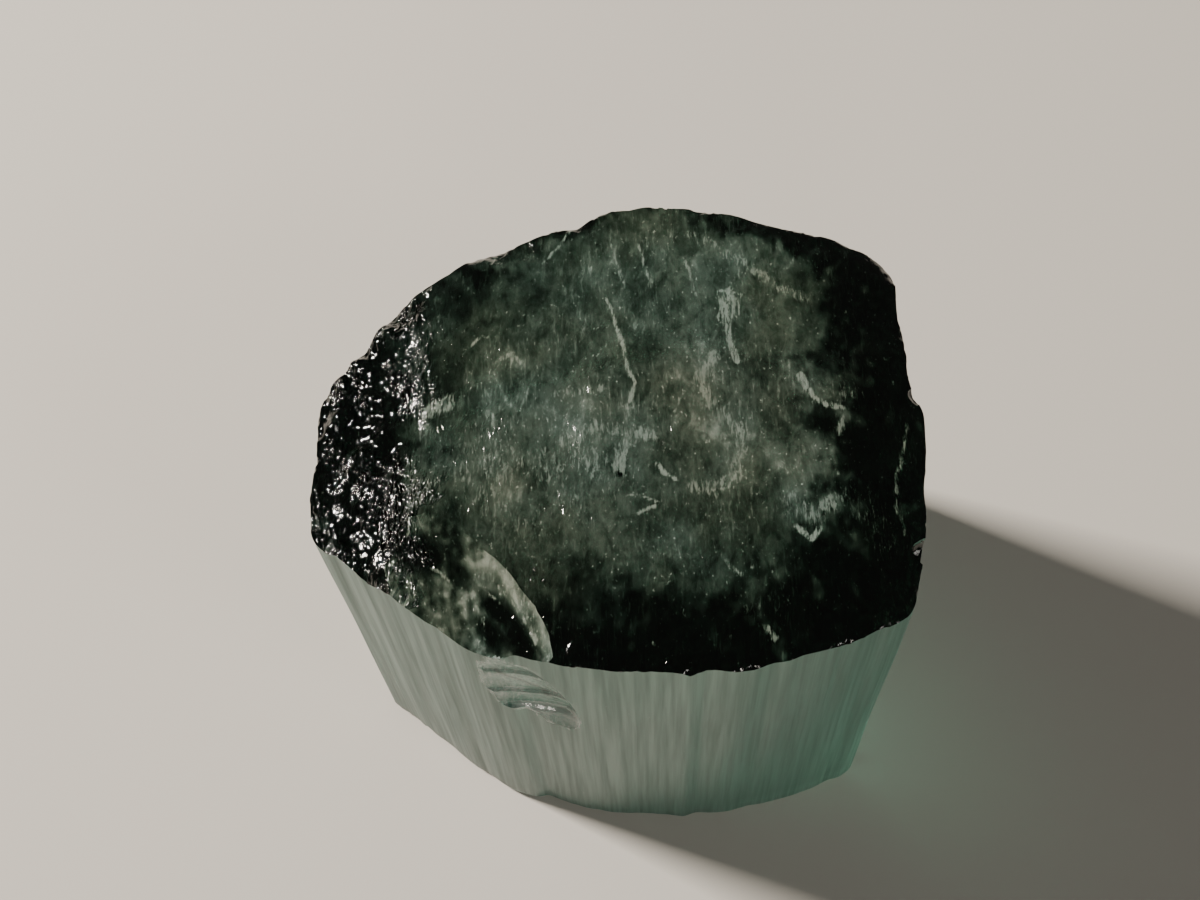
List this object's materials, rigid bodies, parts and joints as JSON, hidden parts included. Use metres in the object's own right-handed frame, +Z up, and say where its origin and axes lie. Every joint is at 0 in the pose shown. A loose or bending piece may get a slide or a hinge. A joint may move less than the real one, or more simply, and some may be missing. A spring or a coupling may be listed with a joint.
{
  "type": "tourmaline crystal",
  "caption": "Blue-green tourmaline crystal, a short rounded three-sided prism with striated sides, a broken top with a conchoidal chip, and a flat base to stand on.",
  "frame": {"origin": "middle of the base, on the surface the crystal stands on", "axes": "+Z up along the prism, +X along its widest side to side, the conchoidal chip on the -X -Y side of the top"},
  "size_m": [0.0159, 0.014, 0.0131],
  "materials": {
    "tourmaline": "clear blue-green crystal, vitreous, striated along its sides, broken and pitted on top"
  },
  "bodies": {
    "root": {"tourmaline_crystal": "tourmaline"}
  },
  "joints": []
}
